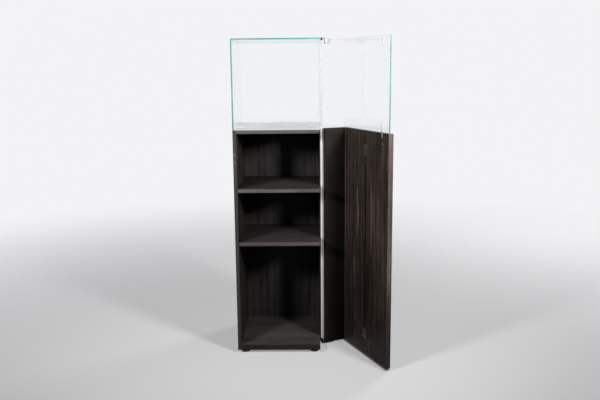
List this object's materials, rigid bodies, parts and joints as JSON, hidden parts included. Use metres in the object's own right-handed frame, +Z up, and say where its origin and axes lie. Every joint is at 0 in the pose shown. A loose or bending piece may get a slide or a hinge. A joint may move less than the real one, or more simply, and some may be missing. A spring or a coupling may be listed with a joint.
{
  "type": "pedestal display case",
  "caption": "Tall smoked-wood pedestal cabinet with inner shelves, a glass display hood on top and one full-height L-shaped door, shown open, that turns on pivots at its right side.",
  "frame": {"origin": "on the floor, below the middle of the box round the whole case with its door open", "axes": "+Z up, +Y from the open front towards the back, +X to the right seen from the front (the hinge side)"},
  "size_m": [0.6834, 0.6144, 1.434],
  "materials": {
    "smoked_veneer": "smoked dark brown wood veneer, vertical grain, semi-matt lacquer, slightly worn edges",
    "door_veneer": "smoked dark brown wood veneer with long lighter streaks, semi-matt lacquer",
    "clear_glass": "clear float glass with ground teal-green edges",
    "deck_laminate": "pale grey-white laminate, satin",
    "seal_white": "off-white soft seal strip, matt",
    "edge_strip": "mid grey plastic, matt",
    "black_steel": "black coated steel, satin",
    "bright_steel": "bright zinc-plated steel, fine brushed",
    "bronze_plate": "dark bronze-brown lacquered steel, satin",
    "pale_nylon": "natural nylon, matt",
    "foot_plastic": "black plastic glide, matt"
  },
  "bodies": {
    "cabinet": {"left_side_panel": "smoked_veneer", "right_side_panel": "smoked_veneer", "back_panel": "smoked_veneer", "base_board": "smoked_veneer", "top_board": "smoked_veneer", "upper_shelf": "smoked_veneer", "lower_shelf": "smoked_veneer", "upper_shelf_pin_left_front": "bright_steel", "upper_shelf_pin_left_back": "bright_steel", "upper_shelf_pin_right_front": "bright_steel", "upper_shelf_pin_right_back": "bright_steel", "lower_shelf_pin_left_front": "bright_steel", "lower_shelf_pin_left_back": "bright_steel", "lower_shelf_pin_right_front": "bright_steel", "lower_shelf_pin_right_back": "bright_steel", "foot_front_left": "foot_plastic", "foot_front_right": "foot_plastic", "foot_back_left": "foot_plastic", "foot_back_right": "foot_plastic", "catch_plate": "bronze_plate", "catch_screw_upper": "bright_steel", "catch_screw_lower": "bright_steel", "display_deck": "deck_laminate", "left_glass": "clear_glass", "right_glass": "clear_glass", "back_glass": "clear_glass", "roof_glass": "clear_glass", "hinge_side_seal": "seal_white", "lower_pivot_bracket": "black_steel", "lower_pivot_pin": "bright_steel", "lower_pivot_washer": "pale_nylon", "lower_bracket_screw_front": "bright_steel", "lower_bracket_screw_back": "bright_steel", "upper_pivot_bracket": "black_steel", "upper_pivot_pin": "bright_steel", "upper_pivot_washer": "pale_nylon"},
    "door": {"front_door_panel": "door_veneer", "side_door_panel": "door_veneer", "straightener_end_upper": "bronze_plate", "straightener_screw_upper_left": "black_steel", "straightener_screw_upper_right": "black_steel", "straightener_end_lower": "bronze_plate", "straightener_screw_lower_left": "black_steel", "straightener_screw_lower_right": "black_steel", "straightener_rod": "black_steel", "bottom_edge_strip": "edge_strip", "front_door_glass": "clear_glass", "upper_pivot_clamp": "bright_steel", "upper_clamp_screw": "bright_steel", "side_door_glass": "clear_glass", "lower_pivot_shoe": "black_steel", "shoe_screw_front": "bright_steel", "shoe_screw_back": "bright_steel", "glass_clamp_lower": "bright_steel", "glass_clamp_screw": "bright_steel", "glass_clamp_upper": "bright_steel", "clamp_cover_cap": "edge_strip", "catch_keeper": "bronze_plate"}
  },
  "joints": [
    {"name": "door_hinge", "type": "hinge", "parent": "cabinet", "child": "door", "pos_m": [0.05835, 0.00917, 0.015], "axis": [0, 0, 1], "range_deg": [-115, 45]}
  ]
}
